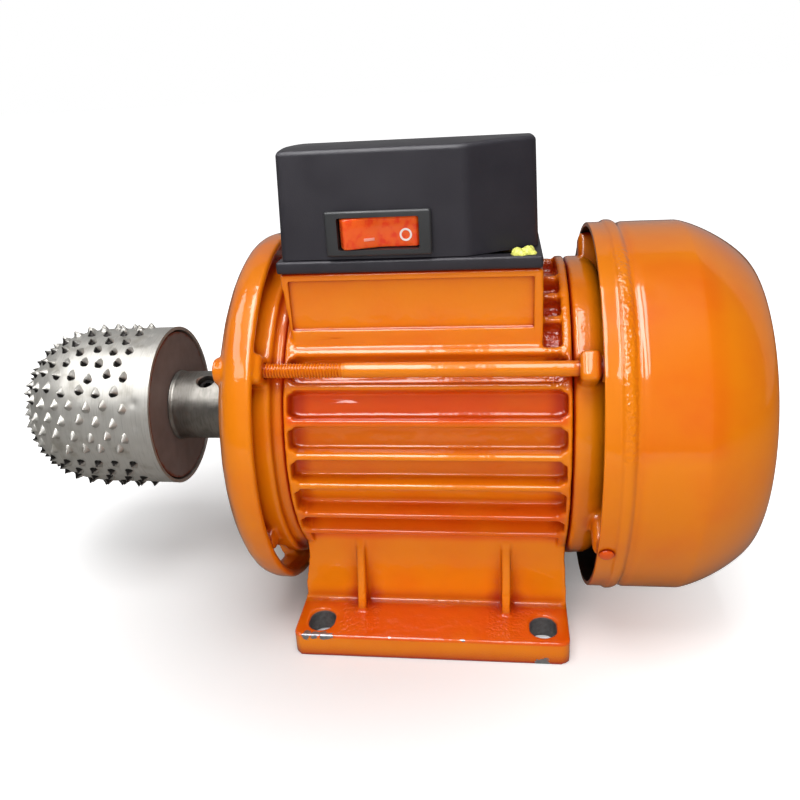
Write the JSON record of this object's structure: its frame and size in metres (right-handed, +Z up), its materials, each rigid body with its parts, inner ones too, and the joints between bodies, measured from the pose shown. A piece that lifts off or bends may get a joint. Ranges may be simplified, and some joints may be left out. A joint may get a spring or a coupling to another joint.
{
  "type": "electric coconut grater",
  "caption": "Foot-mounted electric motor with a finned frame, fan cover and switch box, turning a domed steel grating head covered in sharp teeth.",
  "frame": {"origin": "under the middle of the object's box, on the surface that the feet rest on", "axes": "+X along the shaft from the grating head to the fan cover, +Z up, -Y towards the side with the switch"},
  "size_m": [0.2768, 0.1374, 0.1726],
  "materials": {
    "orange_enamel": "thick glossy enamel",
    "black_plastic": "fine moulded texture",
    "head_steel": "punched sheet steel, satin",
    "hub_steel": "turned mild steel, dull",
    "disc_iron": "bare plate with a rusty edge",
    "bright_steel": "machined",
    "lamination_steel": "stacked laminations",
    "cast_aluminium": "cast",
    "copper_winding": "varnished copper wire",
    "fan_plastic": "moulded",
    "rocker_red": "translucent red-orange, glossy",
    "seal_rubber": "matte",
    "brass_terminal": "plain brass",
    "capacitor_can": "white moulding",
    "sealant_yellow": "soft pale yellow dab"
  },
  "bodies": {
    "motor": {"box_cover_screw_1": "bright_steel", "box_cover_screw_2": "bright_steel", "capacitor_clamp": "bright_steel", "corner_sealant": "sealant_yellow", "earth_screw": "brass_terminal", "fan_cover": "orange_enamel", "fan_cover_screw_1": "orange_enamel", "fan_cover_screw_2": "orange_enamel", "fan_cover_screw_3": "orange_enamel", "front_bearing_outer_race": "bright_steel", "front_end_shield": "orange_enamel", "front_winding": "copper_winding", "gland_body": "black_plastic", "gland_cap": "black_plastic", "gland_locknut": "black_plastic", "gland_seal": "seal_rubber", "motor_frame": "orange_enamel", "rear_bearing_outer_race": "bright_steel", "rear_end_shield": "orange_enamel", "rear_winding": "copper_winding", "run_capacitor": "capacitor_can", "shaft_seal": "seal_rubber", "stator_core": "lamination_steel", "switch_box_cover": "black_plastic", "switch_box_tray": "black_plastic", "switch_housing": "black_plastic", "switch_terminal_1": "brass_terminal", "switch_terminal_2": "brass_terminal", "terminal_block": "capacitor_can", "terminal_screw_1": "brass_terminal", "terminal_screw_2": "brass_terminal", "terminal_screw_3": "brass_terminal", "tie_bolt_1": "orange_enamel", "tie_bolt_2": "orange_enamel", "tie_bolt_3": "orange_enamel", "tray_screw_1": "bright_steel", "tray_screw_2": "bright_steel", "wave_washer": "bright_steel"},
    "rotor": {"rotor_shaft": "bright_steel", "rotor_core": "cast_aluminium", "cooling_fan": "fan_plastic", "fan_circlip": "bright_steel", "front_bearing_inner_race": "bright_steel", "rear_bearing_inner_race": "bright_steel", "grater_hub": "hub_steel", "grater_backplate": "disc_iron", "grater_shell": "head_steel", "hub_set_screw": "bright_steel"},
    "front_cage": {"front_ball_cage": "bright_steel"},
    "rear_cage": {"rear_ball_cage": "bright_steel"},
    "rocker": {"switch_rocker": "rocker_red"}
  },
  "joints": [
    {"name": "shaft_spin", "type": "hinge", "parent": "motor", "child": "rotor", "pos_m": [0.0282, 0, 0.0715], "axis": [1, 0, 0], "continuous": true},
    {"name": "front_cage_spin", "type": "hinge", "parent": "motor", "child": "front_cage", "pos_m": [-0.04, 0, 0.0715], "axis": [1, 0, 0], "continuous": true},
    {"name": "rear_cage_spin", "type": "hinge", "parent": "motor", "child": "rear_cage", "pos_m": [0.0989, 0, 0.0715], "axis": [1, 0, 0], "continuous": true},
    {"name": "rocker_tilt", "type": "hinge", "parent": "motor", "child": "rocker", "pos_m": [0.0162, -0.0365, 0.1472], "axis": [0, 0, -1], "range_deg": [0, 20]}
  ],
  "couplings": [
    {"joint": "front_cage_spin", "follows": "shaft_spin", "ratio": 0.3968},
    {"joint": "rear_cage_spin", "follows": "shaft_spin", "ratio": 0.3968}
  ]
}
